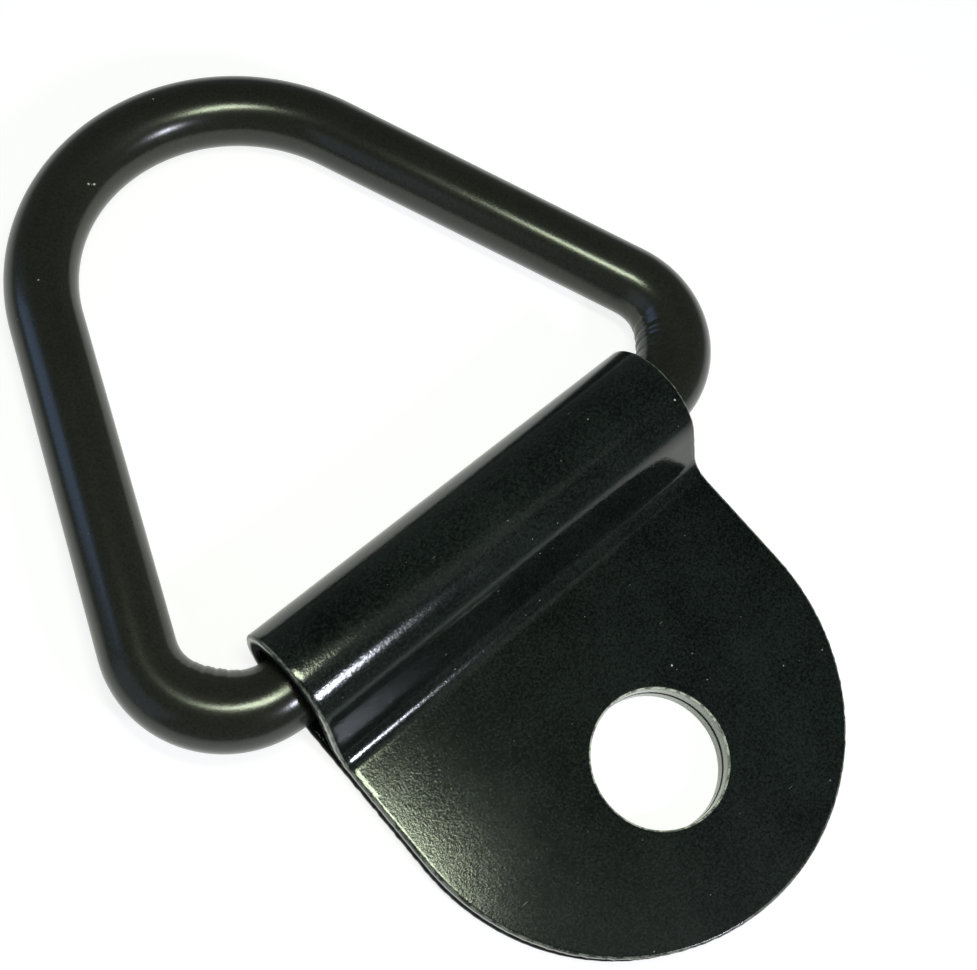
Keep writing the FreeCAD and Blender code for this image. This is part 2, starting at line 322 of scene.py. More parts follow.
@dataclass(frozen=True)
class Electrocoat:
    """Black epoxy electrocoat on steel: dipped, drawn on by current and baked, so it is thin and even.

    It gives the eye a near-black with a clear gloss. The coat is too thin to hide the steel's grain, which
    breaks a highlight into fine speckle, and it thins out on sheared edges, where grey shows through.
    """

    name: str
    coat: str  # colour of the coat in its darker clouds
    cloud: str  # colour in the lighter clouds
    roughness: float
    roughness_spread: float
    cloud_pitch: float
    mottle_pitch: float  # dust and unevenness within a cloud
    peel_pitch: float  # the coat's orange peel
    peel_height: float
    grain_pitch: float  # the steel's grain, drawn as coarse as it needs to show
    grain_height: float
    speck_pitch: float
    speck_radius: float
    sheared: bool = False  # whether the piece has sheared edges, so that its mesh carries their wear
    chips: tuple[Chip, ...] = ()
    steel: str = "#cdd0c2"  # where the coat is thin or gone, and as a painted glint on worn corners
    torn_shade: str = "#0d0f0d"  # painted shade: a near-black colour on the rough, fractured part of a sheared face, which holds its shadow
    torn_roughness: float = 0.8
    torn_gloss: float = 0.08  # specular level there
    sound_gloss: float = 0.5  # specular level elsewhere, which is the shader's own
    mottle_share: float = 0.75  # of the mottle in the pattern of the clouds
    cloud_range: tuple[float, float] = (0.4, 0.62)  # the pattern's value from all coat to all cloud
    thin_floor: float = 0.45  # added to the grain where it breaks up thin coat
    dash_pitch: float = 0.7  # the dashes into which a worn corner and its painted glint break up
    dash_range: tuple[float, float] = (0.42, 0.54)  # the noise's value from no dash to a full one
    speck_strength: float = 0.5  # how much steel the strongest speck shows
    scratch_stretch: float = 9.0
    scratch_turn: Point = (0.3, 0.2, 0.6)  # in radians
    chip_unevenness: float = 0.5  # how far the noise moves a chip's rim
    ior: float = 1.5

    def build(self) -> bpy.types.Material:
        """Makes the material's nodes.

        Returns:
            The material, ready to assign.
        """
        material = bpy.data.materials.new(self.name)
        material.use_nodes = True
        tree = material.node_tree
        tree.nodes.clear()
        place = add_node(tree, Kind.COORDINATES).outputs["Object"]
        clouds = add_node(tree, Kind.NOISE, {
            "Vector": place, "Scale": 1 / (self.cloud_pitch * MM), "Detail": 4.0, "Roughness": 0.6})
        grain = add_node(tree, Kind.NOISE, {
            "Vector": place, "Scale": 1 / (self.grain_pitch * MM), "Detail": 2.0, "Roughness": 0.7})
        mottle = add_node(tree, Kind.NOISE, {
            "Vector": place, "Scale": 1 / (self.mottle_pitch * MM), "Detail": 3.0, "Roughness": 0.8})
        uneven = add_node(
            tree, Kind.MIX, {0: self.mottle_share, 2: clouds.outputs["Fac"], 3: mottle.outputs["Fac"]})
        cloud_share = add_node(tree, Kind.RANGE, {
            "Value": uneven.outputs[0], "From Min": self.cloud_range[0], "From Max": self.cloud_range[1]})
        coat = add_node(
            tree, Kind.MIX, {0: cloud_share.outputs["Result"], 6: linear(self.coat), 7: linear(self.cloud)},
            data_type="RGBA")
        shown = self._steel(tree, place, grain.outputs["Fac"])
        colour = add_node(
            tree, Kind.MIX, {0: shown, 6: coat.outputs[2], 7: linear(self.steel)}, data_type="RGBA")
        smooth = add_node(tree, Kind.RANGE, {
            "Value": clouds.outputs["Fac"], "From Min": 0.3, "From Max": 0.7,
            "To Min": self.roughness - self.roughness_spread,
            "To Max": self.roughness + self.roughness_spread})
        inputs = {
            "Base Color": colour.outputs[2], "Roughness": smooth.outputs["Result"], "IOR": self.ior,
            "Normal": self._relief(tree, place, grain.outputs["Fac"])}
        if self.sheared:
            inputs.update(self._paint_torn_shade(tree, colour.outputs[2], smooth.outputs["Result"]))
        surface = add_node(tree, Kind.PRINCIPLED, inputs)
        add_node(tree, Kind.MATERIAL_OUTPUT, {"Surface": surface.outputs["BSDF"]})
        return material

    def _paint_torn_shade(
        self, tree: bpy.types.NodeTree, colour: bpy.types.NodeSocket, smooth: bpy.types.NodeSocket
    ) -> dict[str, bpy.types.NodeSocket]:
        """Paints shade as a near-black colour on a sheared face's rough, fractured part and makes that part
        rough and dull; a corner worn to steel, which also carries a painted glint, is made rough.

        Args:
            tree: the material's nodes.
            colour: the colour of everything else.
            smooth: its roughness.

        Returns:
            What feeds the shader's sockets, by their names.
        """
        torn_shade = add_node(tree, Kind.ATTRIBUTE, attribute_name=Wear.TORN_AND_SHADE.value).outputs["Fac"]
        # painted shade: a near-black colour on the fractured part of a sheared face, standing in for its
        # shadow
        painted_shade = add_node(tree, Kind.MIX, {0: torn_shade, 6: colour, 7: linear(self.torn_shade)}, data_type="RGBA")
        rubbed_and_glint = add_node(tree, Kind.ATTRIBUTE, attribute_name=Wear.RUBBED_AND_GLINT.value).outputs["Fac"]
        worn = add_node(tree, Kind.MATH, {0: torn_shade, 1: rubbed_and_glint}, operation="MAXIMUM")
        rough = add_node(tree, Kind.MIX, {0: worn.outputs[0], 2: smooth, 3: self.torn_roughness})
        dull = add_node(tree, Kind.MIX, {0: torn_shade, 2: self.sound_gloss, 3: self.torn_gloss})
        return {
            "Base Color": painted_shade.outputs[2], "Roughness": rough.outputs[0],
            "Specular IOR Level": dull.outputs[0]}

    def _steel(
        self, tree: bpy.types.NodeTree, place: bpy.types.NodeSocket, grain: bpy.types.NodeSocket
    ) -> bpy.types.NodeSocket:
        """Works out how much steel shows: the most that thin coat, worn corners with their painted glint,
        specks, scratches or chips show.

        Thin coat breaks up along the grain as thin * (floor + grain), and a worn corner with its painted
        glint into dashes. A chip is round its place moved by half its unevenness, which is what the noise
        adds on average.

        Args:
            tree: the material's nodes.
            place: the piece's coordinates.
            grain: the grain's height.

        Returns:
            A share that is 0 on sound coat and 1 on bare steel.
        """
        dashes = add_node(tree, Kind.NOISE, {
            "Vector": place, "Scale": 1 / (self.dash_pitch * MM), "Detail": 3.0, "Roughness": 0.7})
        scratch_place = add_node(tree, Kind.MAPPING, {
            "Vector": place, "Rotation": self.scratch_turn, "Scale": (1 / self.scratch_stretch, 1.0, 1.0)})
        shares = [
            self._specks(tree, place, self.speck_pitch, self.speck_radius),
            self._specks(tree, scratch_place.outputs[0], self.speck_pitch, self.speck_radius / 2)]
        if self.sheared:
            thin = add_node(tree, Kind.ATTRIBUTE, attribute_name=Wear.THIN.value).outputs["Fac"]
            rubbed_and_glint = add_node(tree, Kind.ATTRIBUTE, attribute_name=Wear.RUBBED_AND_GLINT.value).outputs["Fac"]
            broken = add_node(tree, Kind.MATH, {0: grain, 1: self.thin_floor}, operation="ADD")
            # worn corners show steel in dashes, which also paint a glint
            dash = add_node(tree, Kind.RANGE, {
                "Value": dashes.outputs["Fac"], "From Min": self.dash_range[0],
                "From Max": self.dash_range[1]})
            for wear, pattern in ((thin, broken), (rubbed_and_glint, dash)):
                shares.append(add_node(
                    tree, Kind.MATH, {0: wear, 1: pattern.outputs[0]}, operation="MULTIPLY", use_clamp=True))
        uneven = add_node(tree, Kind.VECTOR_MATH, {
            0: dashes.outputs["Color"], 1: (self.chip_unevenness * MM,) * 3, 2: place},
            operation="MULTIPLY_ADD")
        for chip in self.chips:
            centre = tuple((value + self.chip_unevenness / 2) * MM for value in chip.place)
            reach = add_node(
                tree, Kind.VECTOR_MATH, {0: uneven.outputs[0], 1: centre}, operation="DISTANCE")
            shares.append(add_node(tree, Kind.RANGE, {
                "Value": reach.outputs["Value"],
                "From Min": chip.radius * MM, "From Max": chip.radius * MM / 2}))
        shown = shares[0]
        for share in shares[1:]:
            shown = add_node(
                tree, Kind.MATH, {0: shown.outputs[0], 1: share.outputs[0]}, operation="MAXIMUM")
        return shown.outputs[0]

    def _specks(
        self, tree: bpy.types.NodeTree, place: bpy.types.NodeSocket, pitch: float, radius: float
    ) -> bpy.types.Node:
        """Adds small specks, each as strong as chance makes its cell, and none in the weaker half of them.

        Args:
            tree: the material's nodes.
            place: the coordinates that the cells lie in.
            pitch: the cells' size in millimetres.
            radius: the specks' radius in millimetres.

        Returns:
            The node, whose share is up to speck_strength on a speck and 0 beside it.
        """
        cells = add_node(tree, Kind.VORONOI, {"Vector": place, "Scale": 1 / (pitch * MM)})
        dot = add_node(tree, Kind.RANGE, {
            "Value": cells.outputs["Distance"], "From Min": radius / pitch, "From Max": radius / pitch / 2})
        strength = add_node(tree, Kind.RANGE, {
            "Value": cells.outputs["Color"], "From Min": 0.5, "From Max": 0.9,
            "To Max": self.speck_strength})
        return add_node(tree, Kind.MATH, {0: dot.outputs[0], 1: strength.outputs[0]}, operation="MULTIPLY")

    def _relief(
        self, tree: bpy.types.NodeTree, place: bpy.types.NodeSocket, grain: bpy.types.NodeSocket
    ) -> bpy.types.NodeSocket:
        """Adds the orange peel and the grain.

        Args:
            tree: the material's nodes.
            place: the piece's coordinates.
            grain: the grain's height.

        Returns:
            The normal.
        """
        peel = add_node(tree, Kind.NOISE, {
            "Vector": place, "Scale": 1 / (self.peel_pitch * MM), "Detail": 1.0})
        waves = add_node(tree, Kind.BUMP, {
            "Height": peel.outputs["Fac"], "Strength": 1.0, "Distance": self.peel_height * MM})
        relief = add_node(tree, Kind.BUMP, {
            "Height": grain, "Strength": 1.0, "Distance": self.grain_height * MM,
            "Normal": waves.outputs["Normal"]})
        return relief.outputs["Normal"]


STRIP_COAT = Electrocoat(
    name="electrocoat_on_strip", coat="#060a09", cloud="#222826",
    roughness=0.13, roughness_spread=0.01, cloud_pitch=9.0, mottle_pitch=0.32, peel_pitch=0.9,
    peel_height=6.0 * MICRON, grain_pitch=0.26, grain_height=12.0 * MICRON,
    speck_pitch=1.5, speck_radius=0.1, sheared=True,
    chips=(Chip((24.86, 27.32, 13.1), 0.13), Chip((7.92, 6.42, 3.9), 0.14), Chip((15.6, 31.5, 13.4), 0.08)))
BAR_COAT = Electrocoat(
    name="electrocoat_on_bar", coat="#1e201b", cloud="#2a2a25",
    roughness=0.215, roughness_spread=0.01, cloud_pitch=14.0, mottle_pitch=0.32, peel_pitch=1.3,
    peel_height=5.0 * MICRON, grain_pitch=0.26, grain_height=6.0 * MICRON,
    speck_pitch=2.4, speck_radius=0.08,
    chips=(
        Chip((-7.3, 87.65, 7.25), 0.18), Chip((-7.0, 87.5, 7.05), 0.12), Chip((-6.75, 87.4, 6.9), 0.18),
        Chip((-18.79, 80.74, 8.36), 0.1), Chip((-19.65, 78.84, 8.42), 0.08),
        Chip((4.71, 91.98, 7.89), 0.08)))


@dataclass(frozen=True)
class CutEdge:
    """One closed edge of the sheet, whose wall goes from its outer face to its inner one."""

    loop: Numbers  # the points of a face along the edge
    outward: Floats  # which way the wall stands out from each of them
    profile: Floats  # outset, height, and wear with painted glint, of the wall's rows of points
    bareness: float  # how thin the coat is on the wall
    rubbing_and_glint: float  # how strongly the wall's rounded corners are worn and carry a painted glint
    smooth_share: float  # the part of the wall, from the outer face, that the tool left smooth


@dataclass(frozen=True)
class FoldedStrap:
    """The strap: lower leaf, roll round the ring's bar, slope, hollow crease and upper leaf, in one sheet.

    The sheet is laid out flat as a plan with two round ends and two holes. A plan point is its distance
    along the sheet's middle, from the lower leaf's tip, and its place across. A point of the folded sheet
    has a height as well, from the sheet's middle towards its outer face.
    """

    thickness: float = 1.895  # a hair under the solid's, so that the surface stays inside it
    bar_diameter: float = 8.0
    roll_play: float = 0.9
    leaf_gap: float = 0.1
    width: float = 51.8
    hole_to_roll: float = 29.8
    hole_to_tip: float = 18.4
    hole_diameter: float = 14.8
    slope_degrees: float = 66.0
    crease_radius: float = 3.0
    edge_round: float = 0.35
    rim_round: float = 0.25
    seam_rim_round: float = 0.08
    hole_to_cut: float = 16.0  # where the grid round the hole meets the grid of the roll
    tear_depth: float = 0.13  # how far the sheared outline's teeth fall short of it
    tear_pitches: Point = (0.93, 1.37, 2.3)
    tear_swells: int = 7  # how often round the outline the teeth grow and shrink
    tear_least: float = 0.25  # the teeth's depth where they are smallest, against the full depth
    tear_blend: float = 0.1  # the part of a wall over which its smooth face turns into torn steel
    shear_share: float = 0.4  # the part of the outline's sheared face that the blade left smooth
    shear_bareness: float = 0.08
    shear_rubbing_and_glint: float = 0.3
    punch_share: float = 0.86  # the same of a hole's wall, which tears only beside the seam, where its painted shade stands in for the shadow in the seam between the leaves
    punch_bareness: float = 0.5
    punch_rubbing_and_glint: float = 1.0
    cell: float = 0.62
    tip_cell: float = 0.34
    bend_cell: float = 0.34
    round_steps: int = 4
    wall_steps: int = 5

    @property
    def face_half(self) -> float:
        """Half the width of the sheet's flat face, inside its rounded edges."""
        return self.width / 2 - self.edge_round

    @property
    def cut(self) -> float:
        """Distance from a tip to where the grid round the hole ends."""
        return self.hole_to_tip + self.hole_to_cut

    def middle(self) -> BentLine:
        """The sheet's middle from the lower tip to the upper one, in the plane of Y and Z.

        Returns:
            The bent line, whose outer face is on its right.
        """
        inner = self.bar_diameter / 2 + self.roll_play
        roll_radius = inner + self.thickness / 2
        crease = self.crease_radius + self.thickness / 2
        slope = math.radians(self.slope_degrees)
        upper_height = 1.5 * self.thickness + self.leaf_gap
        roll_exit = inner + self.thickness + roll_radius * math.cos(slope)
        crease_entry = upper_height + crease * (1 - math.cos(slope))
        start = (-self.hole_to_tip, self.thickness / 2)
        runs = [
            Run(self.hole_to_tip + self.hole_to_roll),
            Run.bend(roll_radius, 180 + self.slope_degrees),
            Run((roll_exit - crease_entry) / math.sin(slope)),
            Run.bend(crease, -self.slope_degrees),
        ]
        folded = BentLine(start, 0.0, runs)
        crease_end = folded.at(np.array(folded.total))[0][0]
        return BentLine(start, 0.0, [*runs, Run(crease_end + self.hole_to_tip)])

    def end_plan(self) -> tuple[Floats, int]:
        """Plans the lower end as rays from the hole's rim to the outline.

        An outline point is P and the rim's point on the ray towards it is Q. The grid is Q + v * (P - Q),
        where v = u - 0.1 * sin(2 pi u) for even u from 0 to 1, which is finer at the rim and the outline.

        Returns:
            Plan points by row and ray, and how many rays end on the cut. The rest end on the free edge.
        """
        half = self.face_half
        tip_centre = self.width / 2
        across = math.ceil(2 * half / self.cell)
        along = math.ceil((self.cut - tip_centre) / self.tip_cell)
        round_tip = math.ceil(math.pi * half / self.tip_cell)
        on_cut = np.linspace(-half, half, across + 1)
        side = np.linspace(self.cut, tip_centre, along + 1)[1:]
        turn = np.linspace(math.pi / 2, 3 * math.pi / 2, round_tip + 1)[1:]
        outline = np.concatenate([
            np.stack([np.full(across + 1, self.cut), on_cut], axis=1),
            np.stack([side, np.full(along, half)], axis=1),
            np.stack([tip_centre + half * np.cos(turn), half * np.sin(turn)], axis=1),
            np.stack([side[-2::-1], np.full(along - 1, -half)], axis=1),
        ])
        centre = np.array([self.hole_to_tip, 0.0])
        ray = outline - centre
        rim = centre + ray / np.linalg.norm(ray, axis=1, keepdims=True) * (
            self.hole_diameter / 2 + self.rim_round)
        even = np.linspace(0, 1, math.ceil(self.hole_to_tip / self.cell) + 1)
        share = (even - 0.1 * np.sin(2 * math.pi * even))[:, None, None]
        return rim + share * (outline - rim), across + 1

    def edge_profile(self, outer_round: float, inner_round: float, inset: float) -> Floats:
        """Rounds a sheared edge from the outer face down to the inner face.

        Each corner is a quarter circle: outset = inset - r + r * sin a, height = t / 2 - r + r * cos a. Its
        wear and painted glint go by the root of sin 2a, most at its middle.

        Args:
            outer_round: radius at the outer face.
            inner_round: radius at the inner face.
            inset: how far the faces' grids stop short of the wall.

        Returns:
            Outset, height, and wear with painted glint, of the points between the two faces' own points.
        """
        turn = np.linspace(0, math.pi / 2, self.round_steps + 1)
        half = self.thickness / 2
        # wear and a painted glint, strongest at the middle of each rounded corner
        rubbing_and_glint = np.sqrt(np.abs(np.sin(2 * turn)))
        outset = inset - outer_round * (1 - np.sin(turn))
        outer = np.stack([outset, half - outer_round * (1 - np.cos(turn)), rubbing_and_glint], axis=1)
        outset = inset - inner_round * (1 - np.sin(turn))
        inner = np.stack([outset, inner_round * (1 - np.cos(turn)) - half, rubbing_and_glint], axis=1)[::-1]
        level = np.linspace(outer[-1, 1], inner[0, 1], self.wall_steps + 1)[1:-1]
        wall = np.stack([np.full_like(level, inset), level, np.zeros_like(level)], axis=1)
        first = 1 if outer_round == inset else 0
        last = len(inner) - 1 if inner_round == inset else len(inner)
        return np.concatenate([outer[first:], wall, inner[:last]])

    def tear(self, outline: Floats) -> Floats:
        """Works out how far the sheared outline falls short of its true line.

        It is depth * swell * (1 + the mean of the sines of the run at three unlike pitches) / 2. The swell
        goes between its least share and 1 as a sine of the run, so some stretches are nearly smooth.

        Args:
            outline: plan points round the outline.

        Returns:
            One distance for each point.
        """
        steps = np.linalg.norm(np.roll(outline, -1, axis=0) - outline, axis=1)
        run = np.cumsum(steps) - steps
        total = steps.sum()
        waves = [
            np.sin(2 * math.pi * round(total / pitch) * run / total + pitch) for pitch in self.tear_pitches]
        swell = (1 + np.sin(2 * math.pi * self.tear_swells * run / total)) / 2
        swell = self.tear_least + (1 - self.tear_least) * swell
        return self.tear_depth * swell * (1 + np.mean(waves, axis=0)) / 2

    def folded(self, plan: Floats, height: Floats) -> Floats:
        """Folds the plan: the middle's point, plus the height along the sheet's normal.

        Args:
            plan: distance along the sheet and place across, in the last axis.
            height: distance from the sheet's middle towards its outer face.

        Returns:
            Points in the frame, in millimetres.
        """
        centre, heading = self.middle().at(plan[..., 0])
        return np.stack([
            plan[..., 1],
            centre[..., 0] + height * np.sin(heading),
            centre[..., 1] - height * np.cos(heading)], axis=-1)

    def flat_face(self, middle: BentLine) -> tuple[Floats, Numbers, Numbers, tuple[Numbers, Numbers]]:
        """Plans one face of the sheet: its two ends and the strip between their cuts.

        The ends share the cuts' points with the strip, so equal points become one.

        Args:
            middle: the sheet's middle.

        Returns:
            Plan points, quads, and the point numbers round the outline and round the two holes.
        """
        end, cut_rays = self.end_plan()
        rows, rays = end.shape[:2]
        station = middle.stations(self.cut, middle.total - self.cut, self.cell, self.bend_cell)
        strip = np.stack(np.meshgrid(station, end[-1, :cut_rays, 1], indexing="ij"), axis=-1)
        far_end = np.array([middle.total, 0.0]) - end
        points = np.concatenate([end.reshape(-1, 2), strip.reshape(-1, 2), far_end.reshape(-1, 2)])
        plan, weld = np.unique(np.round(points, 6), axis=0, return_inverse=True)
        weld = weld.reshape(-1)
        size = rows * rays
        near = weld[:size].reshape(rows, rays)
        between = weld[size:-size].reshape(station.size, -1)
        far = weld[-size:].reshape(rows, rays)
        quads = np.concatenate([
            grid_quads(near, closed_columns=True), grid_quads(between),
            grid_quads(far, closed_columns=True)])
        outline = np.concatenate([
            near[-1, cut_rays:], between[:, 0], far[-1, cut_rays:], between[::-1, -1]])
        return plan, quads, outline, (near[0, ::-1], far[0, ::-1])

    def cut_edges(
        self, middle: BentLine, plan: Floats, outline: Numbers, rims: tuple[Numbers, Numbers]
    ) -> list[CutEdge]:
        """Describes the sheared outline and the two punched holes.

        Args:
            middle: the sheet's middle.
            plan: the plan points of a face.
            outline: the point numbers round the outline.
            rims: those round the lower hole and the upper one.

        Returns:
            The three edges.
        """
        spine = np.clip(plan[outline, 0], self.width / 2, middle.total - self.width / 2)
        outward = (plan[outline] - np.stack([spine, np.zeros_like(spine)], axis=1)) / self.face_half
        outward *= 1 - self.tear(plan[outline])[:, None] / self.edge_round
        sheared = self.edge_profile(self.edge_round, self.edge_round, self.edge_round)
        punched = self.edge_profile(self.rim_round, self.seam_rim_round, self.rim_round)
        edges = [CutEdge(
            outline, outward, sheared, self.shear_bareness, self.shear_rubbing_and_glint, self.shear_share)]
        for rim, centre in zip(rims, (self.hole_to_tip, middle.total - self.hole_to_tip)):
            inward = np.array([centre, 0.0]) - plan[rim]
            inward /= np.linalg.norm(inward, axis=1, keepdims=True)
            edges.append(CutEdge(
                rim, inward, punched, self.punch_bareness, self.punch_rubbing_and_glint, self.punch_share))
        return edges

    def surface(self) -> tuple[Floats, Numbers, dict[Wear, Floats]]:
        """Makes the closed surface of the sheet: two faces, the sheared edge and the two holes' walls.

        A wall's point is the face's point + outset * outward. Down the wall its smooth part turns into
        fractured steel that takes a painted shade, and its coat is thin by bareness * outset / largest
        outset * (1 - torn).

        Returns:
            Points, quads and wear at each point.
        """
        middle = self.middle()
        plan, faces, outline, rims = self.flat_face(middle)
        count = len(plan)
        heights = [np.full(count, self.thickness / 2), np.full(count, -self.thickness / 2)]
        plans = [plan, plan]
        quads = [faces, faces[:, ::-1] + count]
        worn = {kind: [np.zeros(2 * count)] for kind in Wear}
        made = 2 * count
        for edge in self.cut_edges(middle, plan, outline, rims):
            outset, level, rubbing_and_glint = np.split(edge.profile, 3, axis=1)
            wall = plan[edge.loop] + outset[:, :, None] * edge.outward
            shape = wall.shape[:2]
            rows = made + np.arange(shape[0] * shape[1]).reshape(shape)
            quads.append(grid_quads(np.vstack([edge.loop, rows, edge.loop + count]), closed_columns=True))
            plans.append(wall.reshape(-1, 2))
            heights.append(np.broadcast_to(level, shape).reshape(-1))
            down = 0.5 - level / self.thickness
            # the fractured part of the wall, which takes a painted shade
            torn_shade = np.clip((down - edge.smooth_share) / self.tear_blend, 0, 1)
            thin = edge.bareness * outset / outset.max() * (1 - torn_shade)
            # wear and painted glint on the rounded corners
            rubbed_and_glint = edge.rubbing_and_glint * rubbing_and_glint
            for kind, share in ((Wear.THIN, thin), (Wear.TORN_AND_SHADE, torn_shade), (Wear.RUBBED_AND_GLINT, rubbed_and_glint)):
                worn[kind].append(np.broadcast_to(share, shape).reshape(-1))
            made += rows.size
        wear = {kind: np.concatenate(shares) for kind, shares in worn.items()}
        return self.folded(np.concatenate(plans), np.concatenate(heights)), np.concatenate(quads), wear

    def build(self) -> bpy.types.Object:
        """Makes the strap, dresses it and puts it in the CAD bracket's place.

        Returns:
            The piece.
        """
        points, quads, wear = self.surface()
        piece = make_piece("folded_strap", points, quads, wear, STRIP_COAT.build())
        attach(piece, Body.BRACKET.value)
        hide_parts("bracket")
        return piece


@dataclass(frozen=True)
class BentRing:
    """The ring: round bar with a straight base, two tight corners, two legs and a wide apex bend."""

    pivot: Point  # the base's centreline at the ring's middle
    bar_diameter: float = 7.96  # a hair under the solid's, so that the surface stays inside it
    reach: float = 61.7
    apex_radius: float = 21.8
    corner_radius: float = 9.3
    half_base: float = 26.15
    upset: float = 0.55  # how far the steel bulges inside a tight corner
    wrinkle: float = 0.1
    wrinkle_pitch: float = 1.5
    wrinkle_swing: float = 2.5  # how far the wrinkles' phase turns round the bar, in radians
    wrinkle_beat: float = 0.37  # how fast the wrinkles come and go, against their own pitch
    squeezed_degrees: float = 100.0  # how much of a corner bulges, from the base on
    straight_step: float = 0.7
    bend_step: float = 0.3
    round_steps: int = 72

    def centreline(self) -> BentLine:
        """The bar's centreline in the ring's own plane, from the middle of the base round to it again.

        The legs are the outer tangents of the corners' circles and the apex's circle.

        Returns:
            The bent line, which goes round anticlockwise.
        """
        rise = self.reach - self.apex_radius - self.corner_radius
        apart = math.hypot(self.half_base, rise)
        shrink = self.corner_radius - self.apex_radius
        normal = math.degrees(math.atan2(rise, -self.half_base) - math.acos(shrink / apart))
        corner = Run.bend(self.corner_radius, 90 + normal)
        leg = Run(math.sqrt(apart ** 2 - shrink ** 2))
        apex = Run.bend(self.apex_radius, 180 - 2 * normal)
        return BentLine((0.0, 0.0), 0.0, [
            Run(self.half_base), corner, leg, apex, leg, corner, Run(self.half_base)])

    def bulge(self, line: BentLine, distance: Floats, angle: Floats) -> Floats:
        """Works out how far the steel, squeezed inside the two corners, stands out from the round bar.

        With s from -1 to 1 over the squeezed part of the corner and a the angle round the bar, it is
        (upset + wrinkle * lumps) * cos(s * pi / 2) ** 2 * max(0, -cos a) ** 2. The lumps are the sine of
        the run, whose phase swings with sin 2a, times a slower cosine of the run.

        Args:
            line: the bar's centreline.
            distance: distances along the centreline.
            angle: angles round the bar, 0 at the ring's outside.

        Returns:
            One height for each distance and angle.
        """
        middle = math.radians(self.squeezed_degrees / 2) * self.corner_radius
        inside = np.clip(-np.cos(angle), 0, 1) ** 2
        height = np.zeros((distance.size, angle.size))
        for first in (self.half_base + middle, line.total - self.half_base - middle):
            share = np.clip((distance - first) / middle, -1, 1)
            window = np.cos(share * math.pi / 2) ** 2
            phase = 2 * math.pi * (distance - first) / self.wrinkle_pitch
            swung = phase[:, None] + self.wrinkle_swing * np.sin(2 * angle)
            lumps = np.sin(swung) * np.cos(phase[:, None] * self.wrinkle_beat)
            height += window[:, None] * inside * (self.upset + self.wrinkle * lumps)
        return height

    def surface(self) -> tuple[Floats, Numbers]:
        """Carries the bar's round section along the centreline.

        A point is centreline + r * (cos a * outward + sin a * up), where r is the bar's radius and the
        bulge, then tipped about X so that the apex lies on the mounting plane: the tip's sine is the pivot's
        height over the bar's radius, over the reach.

        Returns:
            Points and quads.
        """
        line = self.centreline()
        distance = line.stations(0.0, line.total, self.straight_step, self.bend_step)[:-1]
        angle = np.linspace(0, 2 * math.pi, self.round_steps, endpoint=False)
        centre, heading = line.at(distance)
        radius = self.bar_diameter / 2 + self.bulge(line, distance, angle)
        out = radius * np.cos(angle)
        across = centre[:, None, 0] + out * np.sin(heading)[:, None]
        along = centre[:, None, 1] - out * np.cos(heading)[:, None]
        up = radius * np.sin(angle)
        tip = -math.asin((self.pivot[2] - self.bar_diameter / 2) / self.reach)
        points = np.stack([
            across + self.pivot[0],
            along * math.cos(tip) - up * math.sin(tip) + self.pivot[1],
            along * math.sin(tip) + up * math.cos(tip) + self.pivot[2]], axis=-1)
        index = np.arange(across.size).reshape(across.shape)
        return points.reshape(-1, 3), grid_quads(index, closed_rows=True, closed_columns=True)

    def build(self) -> bpy.types.Object:
        """Makes the ring, dresses it and puts it in the CAD ring's place.

        Returns:
            The piece.
        """
        points, quads = self.surface()
        piece = make_piece("bent_ring", points, quads, {}, BAR_COAT.build())
        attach(piece, Body.RING.value)
        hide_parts("v_ring")
        return piece


@dataclass(frozen=True)
class SoftBox:
    """A rectangular studio lamp that faces the part."""

    name: str
    place: Point
    width: float
    height: float
    brightness: float  # how bright its face looks, where 1 is white
    tint: str
    aim: Point = (0.0, 35.0, 5.0)
    turn: float = 0.0  # about the line to its aim, in degrees

    def build(self) -> bpy.types.Object:
        """Hangs the lamp, its width level before it is turned.

        A face of area A looks as bright as watts / (pi * A), with A in square metres.

        Returns:
            The lamp's object.
        """
        data = bpy.data.lights.new(self.name, "AREA")
        data.shape = "RECTANGLE"
        data.size = self.width * MM
        data.size_y = self.height * MM
        data.energy = self.brightness * math.pi * data.size * data.size_y
        data.color = linear(self.tint)[:3]
        lamp = bpy.data.objects.new(self.name, data)
        lamp.location = Vector(self.place) * MM
        facing = (Vector(self.aim) - Vector(self.place)).to_track_quat("-Z", "Y").to_matrix()
        lamp.rotation_euler = (facing @ Matrix.Rotation(math.radians(self.turn), 3, "Z")).to_euler()
        lamp.visible_camera = False
        bpy.context.scene.collection.objects.link(lamp)
        return lamp


@dataclass(frozen=True)
class Viewpoint:
    """The camera, as the photograph's lens and place were fitted to the part's outlines."""

    stand: Point = (-51.49, 7.04, 160.92)
    aim: Point = (7.2, 34.81, 0.0)
    up_heading: float = 48.66  # the picture's upward direction on the floor, in degrees from +X
    lens: float = 56.94
    sensor: float = 36.0
    nearest: float = 10.0  # what is closer than this is not shown

    def build(self) -> bpy.types.Object:
        """Sets the scene's camera.

        Returns:
            The camera's object.
        """
        data = bpy.data.cameras.new("viewpoint")
        data.lens = self.lens
        data.sensor_width = self.sensor
        data.clip_start = self.nearest * MM
        camera = bpy.data.objects.new("viewpoint", data)
        forward = (Vector(self.aim) - Vector(self.stand)).normalized()
        heading = math.radians(self.up_heading)
        right = forward.cross(Vector((math.cos(heading), math.sin(heading), 0.0))).normalized()
        upward = right.cross(forward)
        turn = Matrix((right, upward, -forward)).transposed().to_4x4()
        camera.matrix_world = Matrix.Translation(Vector(self.stand) * MM) @ turn
        bpy.context.scene.collection.objects.link(camera)
        bpy.context.scene.camera = camera
        return camera


